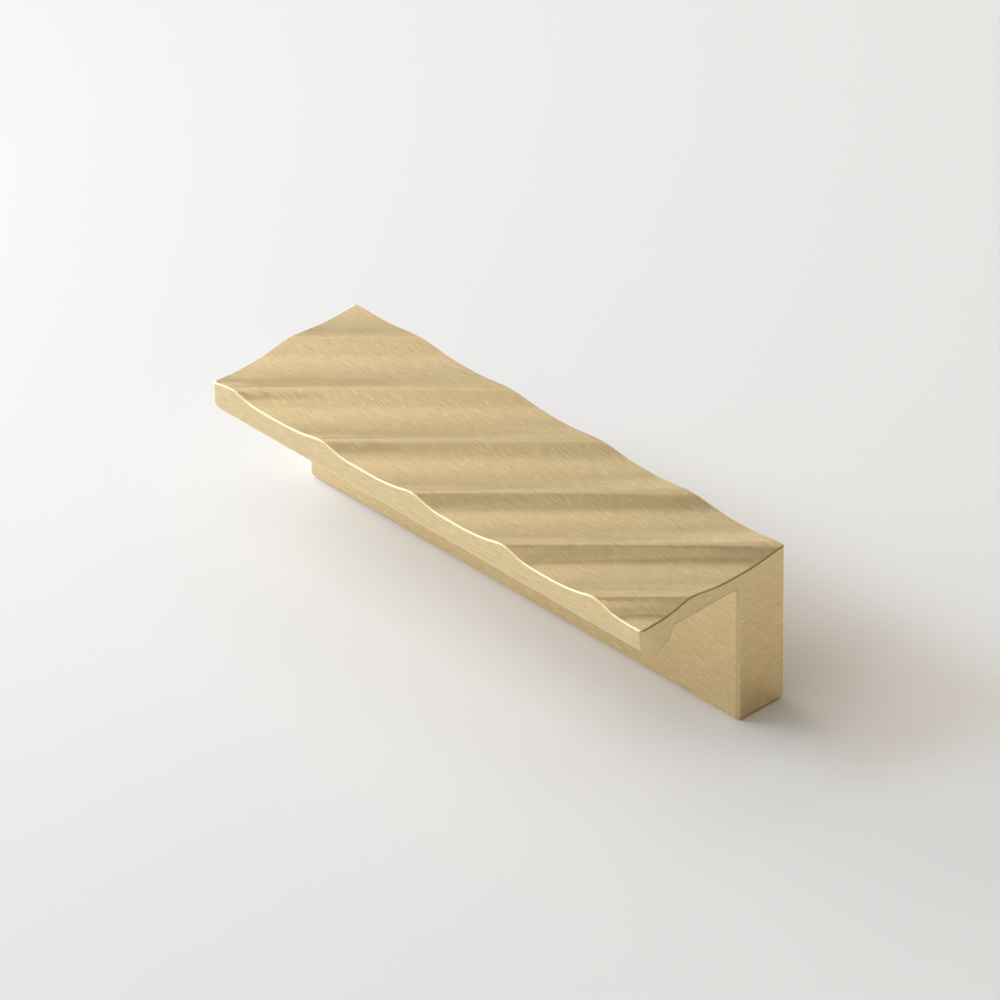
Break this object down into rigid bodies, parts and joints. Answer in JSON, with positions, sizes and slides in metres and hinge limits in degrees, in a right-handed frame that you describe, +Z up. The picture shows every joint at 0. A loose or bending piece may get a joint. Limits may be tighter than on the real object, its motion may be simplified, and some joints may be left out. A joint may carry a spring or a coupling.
{
  "type": "tab pull",
  "caption": "L-shaped brass tab pull: a diagonally rippled plate with a half-round finger lip, on a solid leg tapped at the back for screws.",
  "frame": {"origin": "centre of the leg's back face, midway between the screw holes", "axes": "+X along the pull, +Y out of the back face into the drawer front, +Z up; the lip is at -Y"},
  "size_m": [0.1, 0.033, 0.03],
  "materials": {
    "brass": "satin, brushed along the length"
  },
  "bodies": {
    "root": {"tab_pull": "brass"}
  },
  "joints": []
}
